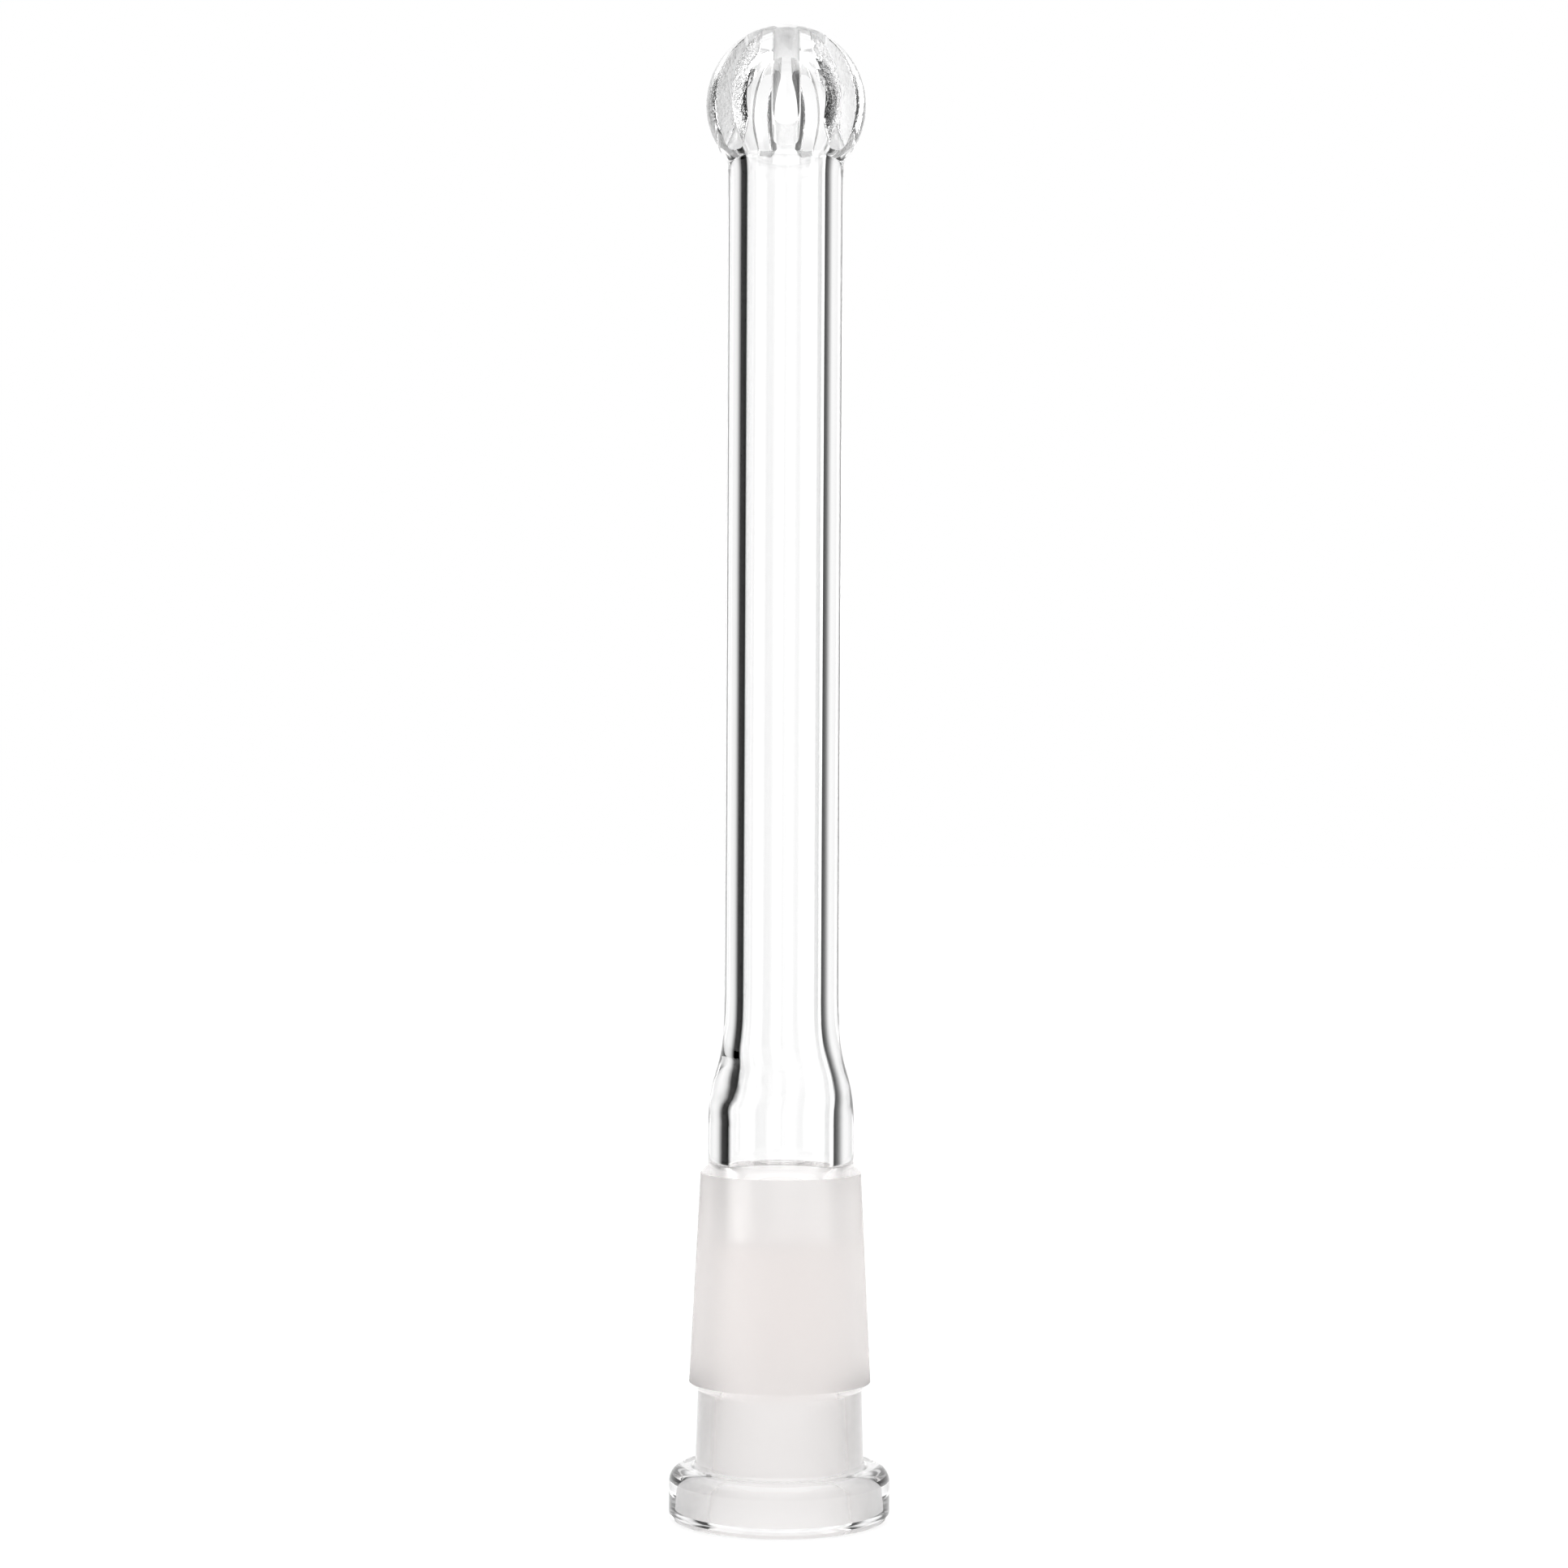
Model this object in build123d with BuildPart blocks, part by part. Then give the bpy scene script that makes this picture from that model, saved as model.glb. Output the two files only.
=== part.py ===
from build123d import *
import os

# Slotted-bulb gas diffuser stem in borosilicate glass, standing on the mouth of its socket.
# Millimetres. Z runs up the axis of the glass, and Z = 0 is the flat mouth of the socket flange.
# The sections below are flame-fused end to end, so each one meets the next on a flat ring.

# Ground surfaces: both joints have the standard 1:10 taper, measured on the diameter
taper_per_mm = 0.1 / 2

# Socket flange
flange_radius = 11.45
flange_height = 5.6
flange_foot_round = 1.0
flange_shoulder_round = 1.6

# Female ground socket, open at the mouth
socket_mouth_radius = 14.5 / 2
socket_lip_round = 0.7
socket_ground_length = 28.3
socket_end_step = 0.3

# Neck between the flange and the male cone
neck_base_radius = 8.73
neck_top_radius = 8.5
neck_top_height = 13.5
neck_base_fillet = 0.5

# Male ground cone
cone_base_radius = 18.8 / 2
cone_base_height = 14.35
cone_ground_length = 21.65
cone_top_height = 37.1

# Clear tail of the joint blank
tail_radius = 15.1 / 2
tail_bore_radius = 11.0 / 2
tail_top_height = 41.0

# Stem tubing, and the weld where the tail is drawn down to it
stem_radius = 12.0 / 2
stem_bore_radius = 8.0 / 2
weld_outer_start, weld_outer_end = 41.5, 51.5
weld_bore_start, weld_bore_end = 41.8, 52.6
weld_top_height = 54.0
stem_top_height = 139.0

# Slotted bulb
bulb_radius = 8.3
bulb_centre_height = 146.7
bulb_root_fillet = 1.2
cavity_radius = 5.8
cavity_centre_height = 146.5
cavity_throat_radius = 8.0

# Slots: each is one plunge of a round-edged diamond wheel, and leaves a solid hub at the pole
slot_count = 7
slot_width = 2.7
wheel_radius = 20.0
wheel_edge_round = 0.8
wheel_reach_radius = 3.5
wheel_centre_height = 152.0


def socket_radius(height):
    """Radius of the female ground taper at a height above the mouth."""
    return socket_mouth_radius - taper_per_mm * (height - socket_lip_round)


def blend_middle(low, high):
    """Point where the two equal arcs of an S-shaped blend meet."""
    return ((low[0] + high[0]) / 2, (low[1] + high[1]) / 2)


def tangent_height(line_radius, arc_radius, ball_radius, ball_height):
    """Height where an arc that touches a ball from outside runs into a straight wall below it."""
    reach = line_radius + arc_radius
    return ball_height - ((ball_radius + arc_radius) ** 2 - reach**2) ** 0.5


def tangent_point(line_radius, arc_radius, ball_radius, ball_height):
    """Point where that arc touches the ball."""
    arc_height = tangent_height(line_radius, arc_radius, ball_radius, ball_height)
    share = ball_radius / (ball_radius + arc_radius)
    return ((line_radius + arc_radius) * share, ball_height + (arc_height - ball_height) * share)


socket_ground_top = socket_lip_round + socket_ground_length
cone_ground_top = cone_base_height + cone_ground_length
cone_top_radius = cone_base_radius - taper_per_mm * cone_ground_length

# Flange: a thick ring with rounded foot and shoulder, and the start of the ground socket inside
with BuildPart() as socket_flange:
    with BuildSketch(Plane.XZ):
        with BuildLine():
            Polyline(
                (socket_mouth_radius + socket_lip_round, 0),
                (flange_radius, 0),
                (flange_radius, flange_height),
                (socket_radius(flange_height), flange_height),
                (socket_mouth_radius, socket_lip_round),
            )
            RadiusArc(
                (socket_mouth_radius, socket_lip_round),
                (socket_mouth_radius + socket_lip_round, 0),
                -socket_lip_round,
            )
        make_face()
    revolve(axis=Axis.Z)
    outer_edges = edges().filter_by(GeomType.CIRCLE).group_by(SortBy.RADIUS)[-1]
    fillet(outer_edges.sort_by(Axis.Z)[0], radius=flange_foot_round)
    outer_edges = edges().filter_by(GeomType.CIRCLE).group_by(Axis.Z)[-1]
    fillet(outer_edges.sort_by(SortBy.RADIUS)[-1], radius=flange_shoulder_round)

# Neck: clear outside with a small fillet at the flange, ground socket inside
with BuildPart() as socket_neck:
    with BuildSketch(Plane.XZ):
        with BuildLine():
            RadiusArc(
                (neck_base_radius, flange_height + neck_base_fillet),
                (neck_base_radius + neck_base_fillet, flange_height),
                -neck_base_fillet,
            )
            Polyline(
                (neck_base_radius + neck_base_fillet, flange_height),
                (socket_radius(flange_height), flange_height),
                (socket_radius(neck_top_height), neck_top_height),
                (neck_top_radius, neck_top_height),
                (neck_base_radius, flange_height + neck_base_fillet),
            )
        make_face()
    revolve(axis=Axis.Z)

# Cone: ground between a clear chamfer below and a clear shoulder above, with the socket's end inside
with BuildPart() as ground_cone:
    with BuildSketch(Plane.XZ):
        with BuildLine():
            Polyline(
                (neck_top_radius, neck_top_height),
                (cone_base_radius, cone_base_height),
                (cone_top_radius, cone_ground_top),
                (tail_radius, cone_top_height),
                (tail_bore_radius, cone_top_height),
                (tail_bore_radius, socket_ground_top + socket_end_step),
                (socket_radius(socket_ground_top), socket_ground_top),
                (socket_radius(neck_top_height), neck_top_height),
                close=True,
            )
        make_face()
    revolve(axis=Axis.Z)

# Tail: the clear plain end of the joint blank
with BuildPart() as joint_tail:
    with BuildSketch(Plane.XY.offset(cone_top_height)):
        Circle(tail_radius)
        Circle(tail_bore_radius, mode=Mode.SUBTRACT)
    extrude(amount=tail_top_height - cone_top_height)

# Weld: drawn down from the tail to the stem by S-shaped blends, one outside and one in the bore
with BuildPart() as weld_flare:
    outer_low, outer_high = (tail_radius, weld_outer_start), (stem_radius, weld_outer_end)
    bore_low, bore_high = (tail_bore_radius, weld_bore_start), (stem_bore_radius, weld_bore_end)
    with BuildSketch(Plane.XZ):
        with BuildLine():
            Line((tail_radius, tail_top_height), outer_low)
            outer_draw = TangentArc(outer_low, blend_middle(outer_low, outer_high), tangent=(0, 1))
            TangentArc(outer_draw @ 1, outer_high, tangent=outer_draw % 1)
            Polyline(
                outer_high,
                (stem_radius, weld_top_height),
                (stem_bore_radius, weld_top_height),
                bore_high,
            )
            bore_draw = TangentArc(bore_low, blend_middle(bore_low, bore_high), tangent=(0, 1))
            TangentArc(bore_draw @ 1, bore_high, tangent=bore_draw % 1)
            Polyline(bore_low, (tail_bore_radius, tail_top_height), (tail_radius, tail_top_height))
        make_face()
    revolve(axis=Axis.Z)

# Stem: plain tubing
with BuildPart() as stem_tube:
    with BuildSketch(Plane.XY.offset(weld_top_height)):
        Circle(stem_radius)
        Circle(stem_bore_radius, mode=Mode.SUBTRACT)
    extrude(amount=stem_top_height - weld_top_height)

# Bulb: a thick ball blown on the end of the tubing, sawn into petals by radial slots
with BuildPart() as slotted_bulb:
    root = (stem_radius, bulb_root_fillet, bulb_radius, bulb_centre_height)
    throat = (stem_bore_radius, cavity_throat_radius, cavity_radius, cavity_centre_height)
    root_start, throat_start = tangent_height(*root), tangent_height(*throat)
    with BuildSketch(Plane.XZ):
        with BuildLine():
            Line((stem_radius, stem_top_height), (stem_radius, root_start))
            TangentArc((stem_radius, root_start), tangent_point(*root), tangent=(0, 1))
            RadiusArc(tangent_point(*root), (0, bulb_centre_height + bulb_radius), -bulb_radius)
            cavity_top = (0, cavity_centre_height + cavity_radius)
            Line((0, bulb_centre_height + bulb_radius), cavity_top)
            RadiusArc(cavity_top, tangent_point(*throat), cavity_radius)
            TangentArc((stem_bore_radius, throat_start), tangent_point(*throat), tangent=(0, 1))
            Polyline(
                (stem_bore_radius, throat_start),
                (stem_bore_radius, stem_top_height),
                (stem_radius, stem_top_height),
            )
        make_face()
    revolve(axis=Axis.Z)
    with BuildSketch(Plane.YZ.offset(-slot_width / 2)):
        with Locations((-(wheel_reach_radius + wheel_radius), wheel_centre_height)):
            Circle(wheel_radius)
    disc = extrude(amount=slot_width, mode=Mode.PRIVATE)
    wheel = disc.fillet(wheel_edge_round, disc.edges())
    for turn in range(slot_count):
        add(wheel.rotate(Axis.Z, turn * 360 / slot_count), mode=Mode.SUBTRACT)

sections = {
    "socket_flange": socket_flange,
    "socket_neck": socket_neck,
    "ground_cone": ground_cone,
    "joint_tail": joint_tail,
    "weld_flare": weld_flare,
    "stem_tube": stem_tube,
    "slotted_bulb": slotted_bulb,
}

os.makedirs("parts", exist_ok=True)
for name, section in sections.items():
    section.part.label = name
    export_step(section.part, f"parts/{name}.step")
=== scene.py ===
import logging
import math
from dataclasses import dataclass, field
from enum import IntEnum

import bpy
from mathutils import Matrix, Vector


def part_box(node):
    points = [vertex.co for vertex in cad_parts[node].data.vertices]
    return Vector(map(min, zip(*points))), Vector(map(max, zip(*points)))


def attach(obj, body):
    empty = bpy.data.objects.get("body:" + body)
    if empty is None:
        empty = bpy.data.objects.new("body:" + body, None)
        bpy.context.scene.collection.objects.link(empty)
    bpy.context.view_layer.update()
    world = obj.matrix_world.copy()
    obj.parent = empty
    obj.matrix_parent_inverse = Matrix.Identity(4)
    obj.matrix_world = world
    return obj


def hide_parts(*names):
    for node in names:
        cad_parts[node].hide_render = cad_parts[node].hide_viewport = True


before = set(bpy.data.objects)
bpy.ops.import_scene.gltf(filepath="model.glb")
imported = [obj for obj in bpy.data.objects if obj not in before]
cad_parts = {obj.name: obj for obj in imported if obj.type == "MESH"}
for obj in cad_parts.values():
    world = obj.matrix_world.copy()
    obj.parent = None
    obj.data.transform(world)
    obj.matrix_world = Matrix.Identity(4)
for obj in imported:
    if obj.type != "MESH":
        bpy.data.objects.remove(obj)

LOG = logging.getLogger("diffuser_stem")

MM = 0.001
SEGMENTS = 240
SMOOTH_ANGLE = math.radians(32)
ROOT_BODY = "root"


class Skin(IntEnum):
    """What a stretch of glass surface is, in the order of each piece's material slots."""

    CLEAR = 0
    GROUND = 1
    SAWN = 2
    SEAM = 3
    PLUNGED = 4


# ---------------------------------------------------------------------------------------------
# Finishes
# ---------------------------------------------------------------------------------------------


def linear_colour(hex_colour: str) -> tuple[float, float, float, float]:
    """Turns an sRGB hex colour into the linear values that shaders use.

    Args:
        hex_colour: Six hex digits, with or without a leading hash.

    Returns:
        Linear red, green and blue, and an alpha of 1.
    """
    digits = hex_colour.lstrip("#")
    channels = [int(digits[place : place + 2], 16) / 255 for place in (0, 2, 4)]
    red, green, blue = [
        c / 12.92 if c <= 0.04045 else ((c + 0.055) / 1.055) ** 2.4 for c in channels
    ]
    return red, green, blue, 1.0


def add_node(
    tree: bpy.types.NodeTree,
    kind: str,
    settings: dict[str, object] | None = None,
    inputs: dict[str | int, object] | None = None,
) -> bpy.types.Node:
    """Adds a node with its settings, its input values and its links.

    Args:
        tree: Node tree that gets the node.
        kind: Node type name.
        settings: Node properties by name.
        inputs: Values by input name or index; an output socket is linked instead.

    Returns:
        The new node.
    """
    node = tree.nodes.new(kind)
    for name, value in (settings or {}).items():
        setattr(node, name, value)
    for name, value in (inputs or {}).items():
        if isinstance(value, bpy.types.NodeSocket):
            tree.links.new(value, node.inputs[name])
        else:
            node.inputs[name].default_value = value
    return node


def start_material(name: str) -> bpy.types.Material:
    """Makes a material whose node tree is still empty.

    Args:
        name: Name of the material.

    Returns:
        The material.
    """
    material = bpy.data.materials.new(name)
    material.use_nodes = True
    material.node_tree.nodes.clear()
    return material


@dataclass(frozen=True)
class Glass:
    """Borosilicate with a relief in its skin. The finishes below say what each one looks like."""

    name: str = "borosilicate"
    colour: str = "#FFFFFF"
    ior: float = 1.474
    clear_share: float = 1.0
    relief_mm: float = 1.0
    relief_height_mm: float = 0.0
    relief_detail: float = 1.0
    relief_roughness: float = 0.5

    def mattness(
        self, tree: bpy.types.NodeTree, place: bpy.types.NodeSocket
    ) -> float | bpy.types.NodeSocket:
        """Returns the roughness of the skin: a smooth one, unless the finish says otherwise."""
        return 0.0

    def make(self) -> bpy.types.Material:
        """Builds the material.

        Returns:
            Glass that light goes through, with the relief in its normals.
        """
        material = start_material(self.name)
        tree = material.node_tree
        place = add_node(tree, "ShaderNodeTexCoord").outputs["Object"]
        noise = add_node(
            tree,
            "ShaderNodeTexNoise",
            inputs={
                "Vector": place,
                "Scale": 1 / (self.relief_mm * MM),
                "Detail": self.relief_detail,
                "Roughness": self.relief_roughness,
            },
        )
        relief = add_node(
            tree,
            "ShaderNodeBump",
            inputs={
                "Strength": 1.0,
                "Distance": self.relief_height_mm * MM,
                "Height": noise.outputs["Fac"],
            },
        )
        shader = add_node(
            tree,
            "ShaderNodeBsdfPrincipled",
            inputs={
                "Base Color": linear_colour(self.colour),
                "Roughness": self.mattness(tree, place),
                "IOR": self.ior,
                "Transmission Weight": self.clear_share,
                "Normal": relief.outputs["Normal"],
            },
        )
        add_node(tree, "ShaderNodeOutputMaterial", inputs={"Surface": shader.outputs["BSDF"]})
        return material


@dataclass(frozen=True)
class ClearGlass(Glass):
    """Fire-polished borosilicate: liquid-smooth, with the long, faint waves of drawn glass."""

    name: str = "borosilicate_fire_polished"
    relief_mm: float = 7.0
    relief_height_mm: float = 0.002
    relief_roughness: float = 0.4


@dataclass(frozen=True)
class GroundGlass(Glass):
    """Borosilicate ground with silicon carbide: an even white matt that lets light through.

    The real grit is near 0.03 mm. It is drawn coarser, so that it shows.
    """

    name: str = "borosilicate_ground"
    colour: str = "#FAF7F6"
    roughness: float = 0.68
    relief_mm: float = 0.12
    relief_height_mm: float = 0.004
    relief_detail: float = 2.0
    relief_roughness: float = 0.6

    def mattness(
        self, tree: bpy.types.NodeTree, place: bpy.types.NodeSocket
    ) -> float | bpy.types.NodeSocket:
        """Returns the roughness, the same all over."""
        return self.roughness


@dataclass(frozen=True)
class SawnGlass(Glass):
    """Borosilicate cut by a diamond wheel: glassy where it broke cleanly, matt where it tore.

    The chips are drawn coarser than they are, so that they show.
    """

    name: str = "borosilicate_sawn"
    colour: str = "#FDFDFD"
    relief_mm: float = 0.35
    relief_height_mm: float = 0.04
    relief_detail: float = 2.0
    patch_mm: float = 0.5
    patch_detail: float = 4.0
    patch_stretch: float = 0.3
    glassy_up_to: float = 0.47
    matt_from: float = 0.56
    glassy_roughness: float = 0.0
    matt_roughness: float = 0.08

    def mattness(
        self, tree: bpy.types.NodeTree, place: bpy.types.NodeSocket
    ) -> float | bpy.types.NodeSocket:
        """Adds nodes for upright strokes of glassy and matt skin.

        Args:
            tree: Node tree that gets the nodes.
            place: Place on the piece, in metres.

        Returns:
            The roughness at that place.
        """
        strokes = add_node(
            tree,
            "ShaderNodeMapping",
            inputs={"Vector": place, "Scale": (1.0, 1.0, self.patch_stretch)},
        )
        patches = add_node(
            tree,
            "ShaderNodeTexNoise",
            inputs={
                "Vector": strokes.outputs["Vector"],
                "Scale": 1 / (self.patch_mm * MM),
                "Detail": self.patch_detail,
            },
        )
        roughness = add_node(
            tree,
            "ShaderNodeMapRange",
            inputs={
                "Value": patches.outputs["Fac"],
                "From Min": self.glassy_up_to,
                "From Max": self.matt_from,
                "To Min": self.glassy_roughness,
                "To Max": self.matt_roughness,
            },
        )
        return roughness.outputs[0]


@dataclass(frozen=True)
class PlungedGlass(SawnGlass):
    """Borosilicate cut by the wheel's rim: a duller, milkier grey than the sides of the cut."""

    name: str = "borosilicate_plunged"
    clear_share: float = 0.45
    relief_height_mm: float = 0.08
    glassy_roughness: float = 0.4
    matt_roughness: float = 0.6


@dataclass(frozen=True)
class FusedSeam:
    """Glass melted into glass: light meets no surface there, so nothing shows."""

    name: str = "fused_seam"

    def make(self) -> bpy.types.Material:
        """Builds the material.

        Returns:
            A material that light goes straight through.
        """
        material = start_material(self.name)
        tree = material.node_tree
        shader = add_node(tree, "ShaderNodeBsdfTransparent")
        add_node(tree, "ShaderNodeOutputMaterial", inputs={"Surface": shader.outputs["BSDF"]})
        return material


# ---------------------------------------------------------------------------------------------
# Turned glass
# ---------------------------------------------------------------------------------------------


@dataclass(frozen=True)
class Ring:
    """One ring of a turned section, in millimetres, and the skin of the surface that follows it."""

    radius: float
    height: float
    skin: Skin = Skin.CLEAR
    shift: float = 0.0


def arc_rings(
    centre: tuple[float, float],
    radius: float,
    start: float,
    end: float,
    steps: int,
    skin: Skin = Skin.CLEAR,
) -> list[Ring]:
    """Rings along an arc of the outline.

    Args:
        centre: Radius and height of the arc's centre.
        radius: Radius of the arc.
        start: First angle in degrees, from the outward direction towards the top.
        end: Last angle in degrees.
        steps: Number of equal steps.
        skin: Skin of the surface along the arc.

    Returns:
        One ring more than there are steps.
    """
    rings = []
    for step in range(steps + 1):
        angle = math.radians(start + (end - start) * step / steps)
        outwards, upwards = radius * math.cos(angle), radius * math.sin(angle)
        rings.append(Ring(centre[0] + outwards, centre[1] + upwards, skin))
    return rings


def s_blend(low: tuple[float, float], high: tuple[float, float], steps: int) -> list[Ring]:
    """Rings along two equal arcs that join two upright walls.

    Args:
        low: Radius and height where the lower wall ends.
        high: Radius and height where the upper wall starts.
        steps: Number of equal steps in height.

    Returns:
        One ring more than there are steps, from low to high.
    """
    rise, drop = (high[1] - low[1]) / 2, (low[0] - high[0]) / 2
    arc = (rise**2 + drop**2) / (2 * drop)
    rings = []
    for step in range(steps + 1):
        height = low[1] + 2 * rise * step / steps
        along = min(height - low[1], high[1] - height)
        inset = arc - math.copysign(math.sqrt(arc**2 - along**2), arc)
        rings.append(Ring(low[0] - inset if height <= low[1] + rise else high[0] + inset, height))
    return rings


def turn(
    name: str, rings: list[Ring], finishes: list[bpy.types.Material], domed: bool = False
) -> bpy.types.Object:
    """Turns a closed outline into glass, ring by ring.

    Args:
        name: Name of the new object.
        rings: Outline from the foot up the outside and down the inside, or, for a domed piece,
            from the pole down the outside and up the inside to the pole.
        finishes: One material for each skin, in the order of Skin.
        domed: Whether the first and last rings are closed at the pole. Otherwise they are joined.

    Returns:
        The new object, at the origin, with a material index for each skin.
    """
    bpy.ops.object.select_all(action="DESELECT")
    first = rings[0]
    bpy.ops.mesh.primitive_circle_add(
        vertices=SEGMENTS,
        radius=first.radius * MM,
        fill_type="TRIFAN" if domed else "NOTHING",
        location=(0, 0, first.height * MM),
    )
    glass = bpy.context.object
    glass.name = glass.data.name = name
    bpy.ops.object.transform_apply(location=True, rotation=True, scale=True)
    bpy.ops.object.mode_set(mode="EDIT")
    bpy.ops.mesh.select_all(action="DESELECT")
    bpy.ops.mesh.select_non_manifold()
    for ring, after in zip(rings, rings[1:]):
        step = ((after.shift - ring.shift) * MM, 0, (after.height - ring.height) * MM)
        bpy.ops.mesh.extrude_edges_move(TRANSFORM_OT_translate={"value": step})
        share = after.radius / ring.radius
        centre = (after.shift * MM, 0, after.height * MM)
        bpy.ops.transform.resize(value=(share, share, 1), center_override=centre)
    if domed:
        bpy.ops.mesh.merge(type="CENTER")
    else:
        bpy.ops.mesh.select_all(action="DESELECT")
        bpy.ops.mesh.select_non_manifold()
        bpy.ops.mesh.bridge_edge_loops()
    bpy.ops.mesh.select_all(action="SELECT")
    bpy.ops.mesh.normals_make_consistent(inside=False)
    bpy.ops.object.mode_set(mode="OBJECT")
    for material in finishes:
        glass.data.materials.append(material)
    skins = [first.skin] * domed + [ring.skin for ring in rings]
    for polygon in glass.data.polygons:
        polygon.material_index = skins[polygon.index // SEGMENTS]
    return glass


def place_glass(glass: bpy.types.Object, node: str) -> None:
    """Smooths a piece and puts it in the place of its CAD node.

    Args:
        glass: The piece.
        node: CAD node that the piece stands for.
    """
    bpy.ops.object.select_all(action="DESELECT")
    glass.select_set(True)
    bpy.context.view_layer.objects.active = glass
    bpy.ops.object.shade_smooth_by_angle(angle=SMOOTH_ANGLE)
    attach(glass, ROOT_BODY)
    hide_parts(node)


@dataclass
class GroundSocket:
    """The female ground taper that runs up inside the flange, the neck and the cone."""

    mouth_radius: float = 7.25
    lip_round: float = 0.7
    taper_per_mm: float = 0.05
    ground_top: float = 29.0
    end_step: float = 0.3
    bore_radius: float = 5.5

    def radius(self, height: float) -> float:
        """Returns the taper's radius at a height."""
        return self.mouth_radius - self.taper_per_mm * (height - self.lip_round)


@dataclass
class SocketFlange:
    """Thick ring round the socket's mouth, fire-polished, with a rounded foot and shoulder."""

    socket: GroundSocket
    radius: float = 11.45
    foot_round: float = 1.0
    shoulder_round: float = 1.6
    seam_radius: float = 9.23

    def build(self, finishes: list[bpy.types.Material]) -> bpy.types.Object:
        """Models the flange.

        Args:
            finishes: One material for each skin.

        Returns:
            The flange.
        """
        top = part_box("socket_flange")[1][2] / MM
        lip = self.socket.lip_round
        mouth = self.socket.mouth_radius
        foot = (self.radius - self.foot_round, self.foot_round)
        shoulder = (self.radius - self.shoulder_round, top - self.shoulder_round)
        rings = arc_rings((mouth + lip, lip), lip, start=180, end=270, steps=8)
        rings += arc_rings(foot, self.foot_round, start=-90, end=0, steps=10)
        rings.append(Ring(self.radius, top / 2))
        rings += arc_rings(shoulder, self.shoulder_round, start=0, end=90, steps=12)
        rings.append(Ring(self.seam_radius, top, Skin.SEAM))
        rings.append(Ring(self.socket.radius(top), top, Skin.GROUND))
        glass = turn("socket_flange_glass", rings, finishes)
        place_glass(glass, "socket_flange")
        return glass


@dataclass
class SocketNeck:
    """Short clear neck that rises from the flange in a small fillet."""

    socket: GroundSocket
    base_radius: float = 8.73
    top_radius: float = 8.5
    fillet: float = 0.5
    wall_steps: int = 6

    def build(self, finishes: list[bpy.types.Material]) -> bpy.types.Object:
        """Models the neck.

        Args:
            finishes: One material for each skin.

        Returns:
            The neck.
        """
        low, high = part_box("socket_neck")
        foot, top = low[2] / MM, high[2] / MM
        wall_foot = foot + self.fillet
        corner = (self.base_radius + self.fillet, wall_foot)
        rings = arc_rings(corner, self.fillet, start=270, end=180, steps=8)
        for step in range(1, self.wall_steps):
            share = step / self.wall_steps
            radius = self.base_radius + (self.top_radius - self.base_radius) * share
            rings.append(Ring(radius, wall_foot + (top - wall_foot) * share))
        rings.append(Ring(self.top_radius, top, Skin.SEAM))
        rings.append(Ring(self.socket.radius(top), top, Skin.GROUND))
        rings.append(Ring(self.socket.radius(foot), foot, Skin.SEAM))
        glass = turn("socket_neck_glass", rings, finishes)
        place_glass(glass, "socket_neck")
        return glass


@dataclass
class GroundCone:
    """Male cone, ground between a clear chamfer and a clear shoulder, over the socket's end."""

    socket: GroundSocket
    foot_radius: float = 8.5
    base_radius: float = 9.4
    base_height: float = 14.35
    ground_length: float = 21.65
    taper_per_mm: float = 0.05
    seam_radius: float = 7.55
    shoulder_fillet: float = 0.8

    def build(self, finishes: list[bpy.types.Material]) -> bpy.types.Object:
        """Models the cone.

        Args:
            finishes: One material for each skin.

        Returns:
            The cone.
        """
        low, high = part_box("ground_cone")
        foot, top = low[2] / MM, high[2] / MM
        ground_top = self.base_height + self.ground_length
        top_radius = self.base_radius - self.taper_per_mm * self.ground_length
        bore, socket = self.socket.bore_radius, self.socket
        corner = (self.seam_radius + self.shoulder_fillet, top)
        shoulder = arc_rings(corner, self.shoulder_fillet, start=225, end=180, steps=6)
        rings = [
            Ring(self.foot_radius, foot),
            Ring(self.base_radius, self.base_height, Skin.GROUND),
            Ring(top_radius, ground_top),
            *shoulder[:-1],
            Ring(self.seam_radius, top, Skin.SEAM),
            Ring(bore, top, Skin.CLEAR),
            Ring(bore, socket.ground_top + socket.end_step, Skin.GROUND),
            Ring(socket.radius(socket.ground_top), socket.ground_top, Skin.GROUND),
            Ring(socket.radius(foot), foot, Skin.SEAM),
        ]
        glass = turn("ground_cone_glass", rings, finishes)
        place_glass(glass, "ground_cone")
        return glass


@dataclass
class JointTail:
    """Plain clear end of the joint blank, above the ground cone."""

    bore_radius: float = 5.5

    def build(self, finishes: list[bpy.types.Material]) -> bpy.types.Object:
        """Models the tail.

        Args:
            finishes: One material for each skin.

        Returns:
            The tail.
        """
        low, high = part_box("joint_tail")
        foot, top, radius = low[2] / MM, high[2] / MM, high[0] / MM
        rings = [
            Ring(radius, foot),
            Ring(radius, (foot + top) / 2),
            Ring(radius, top, Skin.SEAM),
            Ring(self.bore_radius, top),
            Ring(self.bore_radius, (foot + top) / 2),
            Ring(self.bore_radius, foot, Skin.SEAM),
        ]
        glass = turn("joint_tail_glass", rings, finishes)
        place_glass(glass, "joint_tail")
        return glass


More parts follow.
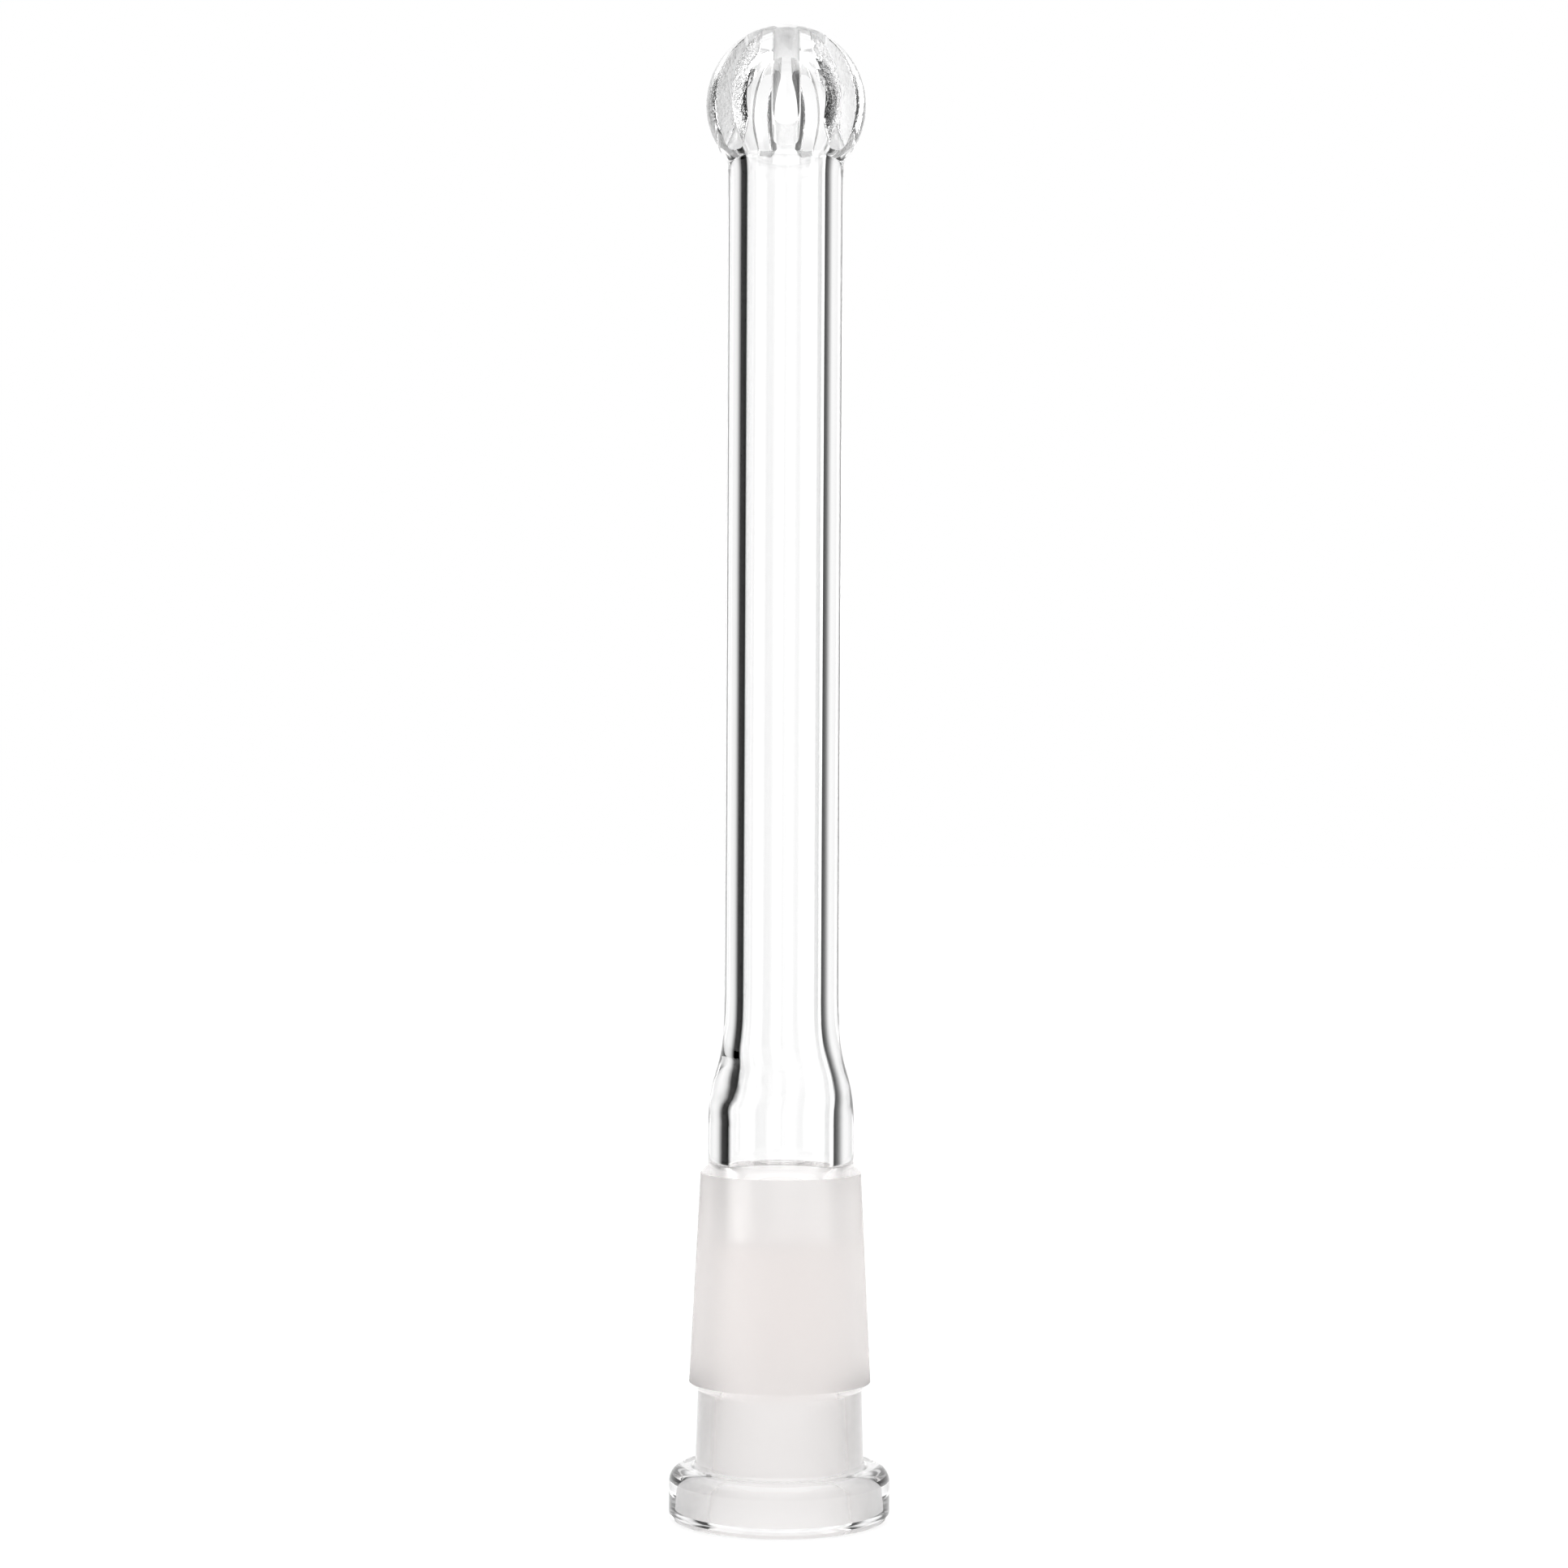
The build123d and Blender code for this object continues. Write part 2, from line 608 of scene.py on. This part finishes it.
@dataclass
class WeldFlare:
    """The flame weld, where the tail is drawn down to the stem and the bore wanders."""

    outer_start: float = 41.5
    outer_end: float = 51.5
    outer_steps: int = 24
    stem_radius: float = 6.0
    tail_radius: float = 7.55
    steps_between: int = 4
    # Height, and the bore's half-width to the left and to the right of the axis
    bore_stations: list[tuple[float, float, float]] = field(
        default_factory=lambda: [
            (41.0, 5.50, 5.50),
            (42.3, 5.56, 5.56),
            (43.2, 5.42, 5.60),
            (44.2, 5.04, 5.54),
            (45.2, 4.68, 5.34),
            (46.2, 4.51, 5.12),
            (47.1, 4.47, 4.90),
            (47.9, 4.46, 4.72),
            (49.0, 4.38, 4.47),
            (50.3, 4.22, 4.24),
            (52.0, 4.06, 4.06),
            (54.0, 4.00, 4.00),
        ]
    )

    @staticmethod
    def smooth(
        before: tuple[float, float],
        low: tuple[float, float],
        high: tuple[float, float],
        after: tuple[float, float],
        share: float,
    ) -> float:
        """Smooth half-width between two stations, each a height and a half-width.

        Args:
            before: Station under the low one, or the low one again at the foot.
            low: Station where the stretch starts.
            high: Station where the stretch ends.
            after: Station over the high one, or the high one again at the top.
            share: How far along the stretch, from 0 to 1.

        Returns:
            The half-width there.
        """
        span = high[0] - low[0]
        low_slope = (high[1] - before[1]) / (high[0] - before[0])
        high_slope = (after[1] - low[1]) / (after[0] - low[0])
        return (
            (2 * share**3 - 3 * share**2 + 1) * low[1]
            + (share**3 - 2 * share**2 + share) * low_slope * span
            + (3 * share**2 - 2 * share**3) * high[1]
            + (share**3 - share**2) * high_slope * span
        )

    def bore_rings(self) -> list[Ring]:
        """Rings of the bore from the top down, smooth through the stations.

        Returns:
            The rings, each shifted sideways where the bore is off the axis.
        """
        stations = [self.bore_stations[0], *self.bore_stations, self.bore_stations[-1]]
        rings = []
        for four in zip(stations, stations[1:], stations[2:], stations[3:]):
            low, high = four[1:3]
            for step in range(self.steps_between):
                share = step / self.steps_between
                left = self.smooth(*[(station[0], station[1]) for station in four], share)
                right = self.smooth(*[(station[0], station[2]) for station in four], share)
                height = low[0] + (high[0] - low[0]) * share
                rings.append(Ring((left + right) / 2, height, shift=(right - left) / 2))
        top = self.bore_stations[-1]
        rings.append(Ring(top[1], top[0]))
        return rings[::-1]

    def build(self, finishes: list[bpy.types.Material]) -> bpy.types.Object:
        """Models the weld.

        Args:
            finishes: One material for each skin.

        Returns:
            The weld.
        """
        low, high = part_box("weld_flare")
        foot, top = low[2] / MM, high[2] / MM
        wide, narrow = (self.tail_radius, self.outer_start), (self.stem_radius, self.outer_end)
        rings = [Ring(self.tail_radius, foot)]
        rings += s_blend(wide, narrow, self.outer_steps)
        rings.append(Ring(self.stem_radius, (self.outer_end + top) / 2))
        rings.append(Ring(self.stem_radius, top, Skin.SEAM))
        bore = self.bore_rings()
        rings += bore[:-1]
        rings.append(Ring(bore[-1].radius, bore[-1].height, Skin.SEAM))
        glass = turn("weld_flare_glass", rings, finishes)
        place_glass(glass, "weld_flare")
        return glass


@dataclass
class StemTube:
    """Plain drawn tubing."""

    bore_radius: float = 4.0
    steps: int = 12

    def build(self, finishes: list[bpy.types.Material]) -> bpy.types.Object:
        """Models the stem.

        Args:
            finishes: One material for each skin.

        Returns:
            The stem.
        """
        low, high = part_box("stem_tube")
        foot, top, radius = low[2] / MM, high[2] / MM, high[0] / MM
        heights = [foot + (top - foot) * step / self.steps for step in range(self.steps + 1)]
        rings = [Ring(radius, height) for height in heights[:-1]]
        rings.append(Ring(radius, top, Skin.SEAM))
        rings += [Ring(self.bore_radius, height) for height in heights[:0:-1]]
        rings.append(Ring(self.bore_radius, foot, Skin.SEAM))
        glass = turn("stem_tube_glass", rings, finishes)
        place_glass(glass, "stem_tube")
        return glass


@dataclass
class SlottedBulb:
    """Thick blown ball, sawn into petals by plunges of a diamond wheel."""

    stem_radius: float = 6.0
    bore_radius: float = 4.0
    radius: float = 8.3
    centre: float = 146.7
    root_fillet: float = 1.2
    cavity_radius: float = 5.8
    cavity_centre: float = 146.5
    throat_round: float = 8.0
    pole_radius: float = 0.25
    slot_count: int = 7
    slot_width: float = 2.7
    wheel_radius: float = 20.0
    wheel_vertices: int = 256
    wheel_edge_round: float = 0.8
    wheel_edge_steps: int = 6
    wheel_reach: float = 3.5
    wheel_centre: float = 152.0
    # Faces of the wheel that look along its axle more than this leave the sides of the cut
    side_steepness: float = 0.9

    @staticmethod
    def shell_rings(
        wall: float, root: float, ball: float, centre: float, pole: float
    ) -> list[Ring]:
        """Rings of one side of the bulb's wall, from a straight wall over a fillet to the pole.

        Args:
            wall: Radius of the straight wall.
            root: Radius of the fillet between the wall and the ball.
            ball: Radius of the ball.
            centre: Height of the ball's centre.
            pole: Radius of the last ring, at the pole.

        Returns:
            The rings from the wall upwards.
        """
        reach = wall + root
        drop = math.sqrt((ball + root) ** 2 - reach**2)
        lean = math.degrees(math.atan2(drop, reach))
        last = math.degrees(math.acos(pole / ball))
        rings = arc_rings((reach, centre - drop), root, start=180, end=180 - lean, steps=8)
        rings += arc_rings((0, centre), ball, start=-lean, end=last, steps=64)[1:]
        return rings

    def build(self, finishes: list[bpy.types.Material]) -> bpy.types.Object:
        """Models the bulb.

        Args:
            finishes: One material for each skin.

        Returns:
            The bulb.
        """
        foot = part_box("slotted_bulb")[0][2] / MM
        outside = self.shell_rings(
            self.stem_radius, self.root_fillet, self.radius, self.centre, self.pole_radius
        )
        inside = self.shell_rings(
            self.bore_radius,
            self.throat_round,
            self.cavity_radius,
            self.cavity_centre,
            self.pole_radius,
        )
        seam = [Ring(self.stem_radius, foot, Skin.SEAM), Ring(self.bore_radius, foot)]
        glass = turn("slotted_bulb_glass", [*outside[::-1], *seam, *inside], finishes, domed=True)
        for slot in range(self.slot_count):
            self.saw(glass, slot * math.tau / self.slot_count)
        place_glass(glass, "slotted_bulb")
        return glass

    def saw(self, glass: bpy.types.Object, angle: float) -> None:
        """Cuts one slot.

        Args:
            glass: The ball.
            angle: Turn of the slot about the axis, in radians, from the one that faces -Y.
        """
        reach = (self.wheel_reach + self.wheel_radius) * MM
        where = (reach * math.sin(angle), -reach * math.cos(angle), self.wheel_centre * MM)
        bpy.ops.object.select_all(action="DESELECT")
        bpy.ops.mesh.primitive_cylinder_add(
            vertices=self.wheel_vertices,
            radius=self.wheel_radius * MM,
            depth=self.slot_width * MM,
            location=where,
            rotation=(math.pi / 2, 0, angle + math.pi / 2),
        )
        wheel = bpy.context.object
        bpy.ops.object.mode_set(mode="EDIT")
        bpy.ops.mesh.select_mode(type="EDGE")
        bpy.ops.mesh.select_all(action="DESELECT")
        bpy.ops.mesh.edges_select_sharp(sharpness=math.radians(45))
        bpy.ops.mesh.bevel(
            offset=self.wheel_edge_round * MM, segments=self.wheel_edge_steps, affect="EDGES"
        )
        bpy.ops.mesh.select_mode(type="VERT")
        bpy.ops.object.mode_set(mode="OBJECT")
        cut = glass.modifiers.new("slot", "BOOLEAN")
        cut.operation = "DIFFERENCE"
        cut.solver = "EXACT"
        cut.object = wheel
        for material in glass.data.materials:
            wheel.data.materials.append(material)
        for polygon in wheel.data.polygons:
            side = abs(polygon.normal.z) > self.side_steepness
            polygon.material_index = Skin.SAWN if side else Skin.PLUNGED
        bpy.ops.object.select_all(action="DESELECT")
        glass.select_set(True)
        bpy.context.view_layer.objects.active = glass
        bpy.ops.object.modifier_apply(modifier=cut.name)
        bpy.data.objects.remove(wheel, do_unlink=True)


# ---------------------------------------------------------------------------------------------
# Studio
# ---------------------------------------------------------------------------------------------


@dataclass(frozen=True)
class Surround:
    """Cards and drapes round the glass.

    The stops are brightness by azimuth, in degrees from straight behind the glass. The rises are
    what that brightness is multiplied by, by degrees of height. The ceiling is white.
    """

    stops: tuple[tuple[float, float], ...]
    rises: tuple[tuple[float, float], ...] = ((0, 1.0), (90, 1.0))
    ceiling_from: float = 34
    ceiling_full: float = 50

    @staticmethod
    def fill(ramp: bpy.types.Node, stops: list[tuple[float, float]]) -> None:
        """Puts stops of grey into a new colour ramp.

        Args:
            ramp: Colour Ramp node, with the two stops that it comes with.
            stops: Position from 0 to 1 and brightness of each stop, in order.
        """
        elements = ramp.color_ramp.elements
        elements.remove(elements[-1])
        for number, (position, grey) in enumerate(stops):
            stop = elements.new(position) if number else elements[0]
            stop.position = position
            stop.color = (grey, grey, grey, 1)

    def brightness(
        self, tree: bpy.types.NodeTree, direction: bpy.types.NodeSocket
    ) -> bpy.types.NodeSocket:
        """Adds nodes that look up the surround.

        Args:
            tree: Node tree that gets the nodes.
            direction: Vector that points away from the glass.

        Returns:
            The brightness in that direction.
        """
        flat = add_node(tree, "ShaderNodeSeparateXYZ", inputs={0: direction})
        azimuth = add_node(
            tree,
            "ShaderNodeMath",
            {"operation": "ARCTAN2"},
            {0: flat.outputs["X"], 1: flat.outputs["Y"]},
        )
        share = add_node(
            tree,
            "ShaderNodeMapRange",
            inputs={"Value": azimuth.outputs[0], "From Min": -math.pi, "From Max": math.pi},
        )
        round_about = add_node(tree, "ShaderNodeValToRGB", inputs={0: share.outputs[0]})
        self.fill(round_about, [((degrees + 180) / 360, grey) for degrees, grey in self.stops])

        unit = add_node(tree, "ShaderNodeVectorMath", {"operation": "NORMALIZE"}, {0: direction})
        height = add_node(tree, "ShaderNodeSeparateXYZ", inputs={0: unit.outputs[0]}).outputs["Z"]
        by_height = add_node(tree, "ShaderNodeValToRGB", inputs={0: height})
        rises = [(math.sin(math.radians(degrees)), grey) for degrees, grey in self.rises]
        self.fill(by_height, rises)
        cards = add_node(
            tree,
            "ShaderNodeVectorMath",
            {"operation": "MULTIPLY"},
            {0: round_about.outputs[0], 1: by_height.outputs[0]},
        )
        ceiling = add_node(
            tree,
            "ShaderNodeMapRange",
            {"interpolation_type": "SMOOTHSTEP"},
            {
                "Value": height,
                "From Min": math.sin(math.radians(self.ceiling_from)),
                "From Max": math.sin(math.radians(self.ceiling_full)),
            },
        )
        brighter = add_node(
            tree,
            "ShaderNodeVectorMath",
            {"operation": "MAXIMUM"},
            {0: cards.outputs[0], 1: ceiling.outputs[0]},
        )
        return brighter.outputs[0]


# Seen through the glass: a white sweep that falls away to black drapes and draws the dark bands in
# the tube. The cards past the drapes are brighter than white, since little of them gets through
# the ball's slots, and the gaps between them darken parts of the slots. The ramp holds 32 stops.
BEHIND_GLASS = Surround(
    stops=(
        (-180, 0.00),
        (-170, 0.00),
        (-156, 1.50),
        (-151, 0.00),
        (-128, 0.00),
        (-121, 2.60),
        (-72, 2.60),
        (-65, 0.00),
        (-43, 0.00),
        (-36, 0.28),
        (-28, 0.66),
        (-19, 0.84),
        (-9, 0.92),
        (0, 0.97),
        (9, 0.96),
        (19, 0.93),
        (28, 0.86),
        (36, 0.58),
        (44, 0.26),
        (51, 0.07),
        (62, 0.00),
        (67, 2.60),
        (72, 2.60),
        (77, 0.00),
        (86, 0.00),
        (92, 2.60),
        (112, 2.60),
        (118, 0.00),
        (146, 0.00),
        (152, 1.50),
        (177, 1.50),
        (180, 0.00),
    ),
    rises=((0, 1.0), (12, 1.0), (20, 0.85), (26, 0.85), (34, 1.0)),
)

# Mirrored in the glass: the same sweep behind, dark sides and a softer light in front
ROUND_GLASS = Surround(
    stops=(
        (-180, 0.60),
        (-150, 0.60),
        (-110, 0.00),
        (-75, 0.00),
        (-55, 0.60),
        (-30, 1.00),
        (30, 1.00),
        (55, 0.60),
        (78, 0.60),
        (95, 0.60),
        (110, 0.10),
        (150, 0.60),
        (180, 0.60),
    )
)


@dataclass
class Studio:
    """White floor and sweep, dark sides that draw the glass's edges, a soft lamp and the camera."""

    camera_distance: float = 0.380
    camera_height: float = 0.0763
    camera_aside: float = 0.00013
    focal_length_mm: float = 84.0
    roll_degrees: float = 0.29
    sensor_width_mm: float = 36.0
    nearest_seen: float = 0.01
    farthest_seen: float = 50.0
    floor_size: float = 6.0
    floor_drop_mm: float = 0.02
    paper_colour: str = "#F2F2F2"
    dimmed_paper_colour: str = "#8C8C8C"
    paper_glow: float = 0.75
    near_floor: float = 0.05
    far_floor: float = 0.12
    backdrop_gain: float = 1.10
    lamp_size: float = 1.2
    lamp_height: float = 1.2
    lamp_forward: float = 0.2
    lamp_tilt_degrees: float = -9
    lamp_watts: float = 6.0

    def build_camera(self) -> None:
        """Adds the camera: level, a little under half-way up the glass."""
        bpy.ops.object.camera_add(
            location=(self.camera_aside, -self.camera_distance, self.camera_height),
            rotation=(math.pi / 2, 0, 0),
        )
        camera = bpy.context.object
        camera.name = "camera"
        camera.data.lens = self.focal_length_mm
        camera.data.sensor_width = self.sensor_width_mm
        camera.data.clip_start = self.nearest_seen
        camera.data.clip_end = self.farthest_seen
        camera.rotation_euler.rotate_axis("Z", math.radians(self.roll_degrees))
        bpy.context.scene.camera = camera

    def seen_by_glass(
        self, tree: bpy.types.NodeTree, direction: bpy.types.NodeSocket, path: bpy.types.Node
    ) -> bpy.types.NodeSocket:
        """Adds nodes for what the glass shows of its surroundings.

        Args:
            tree: Node tree that gets the nodes.
            direction: Vector that points away from the glass.
            path: Light Path node of the tree.

        Returns:
            The brightness, through the glass or mirrored in it.
        """
        behind = add_node(
            tree,
            "ShaderNodeVectorMath",
            {"operation": "SCALE"},
            {0: BEHIND_GLASS.brightness(tree, direction), "Scale": self.backdrop_gain},
        )
        mirrored = ROUND_GLASS.brightness(tree, direction)
        either = add_node(
            tree,
            "ShaderNodeMix",
            {"data_type": "RGBA"},
            {0: path.outputs["Is Transmission Ray"], 6: mirrored, 7: behind.outputs[0]},
        )
        return either.outputs[2]

    @staticmethod
    def either_ray(tree: bpy.types.NodeTree, path: bpy.types.Node) -> bpy.types.NodeSocket:
        """Adds a node that picks out what the glass sees.

        Args:
            tree: Node tree that gets the node.
            path: Light Path node of the tree.

        Returns:
            One for rays that come through glass or off its skin, nought for all others.
        """
        by_glass = add_node(
            tree,
            "ShaderNodeMath",
            {"operation": "MAXIMUM"},
            {0: path.outputs["Is Transmission Ray"], 1: path.outputs["Is Glossy Ray"]},
        )
        return by_glass.outputs[0]

    def build_floor(self) -> None:
        """Adds the floor: white paper round the glass, and past it the foot of the drapes.

        The eye and the glass see the paper with a glow of its own, which brings it to white all
        over and leaves the glass's shadow on it. All other rays see plain paper.
        """
        bpy.ops.object.select_all(action="DESELECT")
        bpy.ops.mesh.primitive_plane_add(
            size=self.floor_size, location=(0, 0, -self.floor_drop_mm * MM)
        )
        floor = bpy.context.object
        floor.name = "floor"
        bpy.ops.object.transform_apply(location=True, rotation=True, scale=True)
        material = start_material("white_paper")
        tree = material.node_tree
        path = add_node(tree, "ShaderNodeLightPath")
        place = add_node(tree, "ShaderNodeTexCoord").outputs["Object"]
        paper, dimmed = [
            add_node(tree, "ShaderNodeBsdfDiffuse", inputs={"Color": linear_colour(colour)})
            for colour in (self.paper_colour, self.dimmed_paper_colour)
        ]
        glow = add_node(
            tree,
            "ShaderNodeEmission",
            inputs={"Color": (1, 1, 1, 1), "Strength": self.paper_glow},
        )
        bright = add_node(
            tree, "ShaderNodeAddShader", inputs={0: glow.outputs[0], 1: dimmed.outputs[0]}
        )
        far = add_node(
            tree, "ShaderNodeEmission", inputs={"Color": self.seen_by_glass(tree, place, path)}
        )
        away = add_node(tree, "ShaderNodeVectorMath", {"operation": "LENGTH"}, {0: place})
        farness = add_node(
            tree,
            "ShaderNodeMapRange",
            {"interpolation_type": "SMOOTHSTEP"},
            {
                "Value": away.outputs["Value"],
                "From Min": self.near_floor,
                "From Max": self.far_floor,
            },
        )
        through = add_node(
            tree,
            "ShaderNodeMixShader",
            inputs={0: farness.outputs[0], 1: bright.outputs[0], 2: far.outputs[0]},
        )
        direct = add_node(
            tree,
            "ShaderNodeMixShader",
            inputs={0: path.outputs["Is Camera Ray"], 1: paper.outputs[0], 2: bright.outputs[0]},
        )
        mixed = add_node(
            tree,
            "ShaderNodeMixShader",
            inputs={0: self.either_ray(tree, path), 1: direct.outputs[0], 2: through.outputs[0]},
        )
        add_node(tree, "ShaderNodeOutputMaterial", inputs={"Surface": mixed.outputs[0]})
        floor.data.materials.append(material)

    def build_world(self) -> None:
        """Sets the world: white to the eye, and to the glass a white sweep between dark sides."""
        world = bpy.data.worlds.new("studio")
        bpy.context.scene.world = world
        world.use_nodes = True
        tree = world.node_tree
        tree.nodes.clear()
        path = add_node(tree, "ShaderNodeLightPath")
        place = add_node(tree, "ShaderNodeTexCoord").outputs["Generated"]
        surround = add_node(
            tree, "ShaderNodeBackground", inputs={"Color": self.seen_by_glass(tree, place, path)}
        )
        plain = add_node(tree, "ShaderNodeBackground", inputs={"Color": (1, 1, 1, 1)})
        mixed = add_node(
            tree,
            "ShaderNodeMixShader",
            inputs={0: self.either_ray(tree, path), 1: plain.outputs[0], 2: surround.outputs[0]},
        )
        add_node(tree, "ShaderNodeOutputWorld", inputs={"Surface": mixed.outputs[0]})

    def build_lamps(self) -> None:
        """Adds one large soft lamp overhead."""
        bpy.ops.object.light_add(
            type="AREA",
            location=(0, -self.lamp_forward, self.lamp_height),
            rotation=(math.radians(self.lamp_tilt_degrees), 0, 0),
        )
        lamp = bpy.context.object
        lamp.name = "overhead_softbox"
        lamp.data.shape = "RECTANGLE"
        lamp.data.size = lamp.data.size_y = self.lamp_size
        lamp.data.energy = self.lamp_watts
        lamp.visible_camera = False

    def build(self) -> None:
        """Builds the whole studio."""
        self.build_camera()
        self.build_floor()
        self.build_world()
        self.build_lamps()
        bpy.context.scene.view_settings.view_transform = "Standard"


def main() -> None:
    """Builds the studio and the glass, one section at a time, and reports each piece."""
    logging.basicConfig(level=logging.INFO)
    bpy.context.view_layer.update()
    Studio().build()
    by_skin = {
        Skin.CLEAR: ClearGlass(),
        Skin.GROUND: GroundGlass(),
        Skin.SAWN: SawnGlass(),
        Skin.SEAM: FusedSeam(),
        Skin.PLUNGED: PlungedGlass(),
    }
    finishes = [by_skin[skin].make() for skin in Skin]
    socket = GroundSocket()
    sections = [
        SocketFlange(socket),
        SocketNeck(socket),
        GroundCone(socket),
        JointTail(),
        WeldFlare(),
        StemTube(),
        SlottedBulb(),
    ]
    for section in sections:
        glass = section.build(finishes)
        LOG.info("%s: %d faces", glass.name, len(glass.data.polygons))


if __name__ == "__main__":
    main()
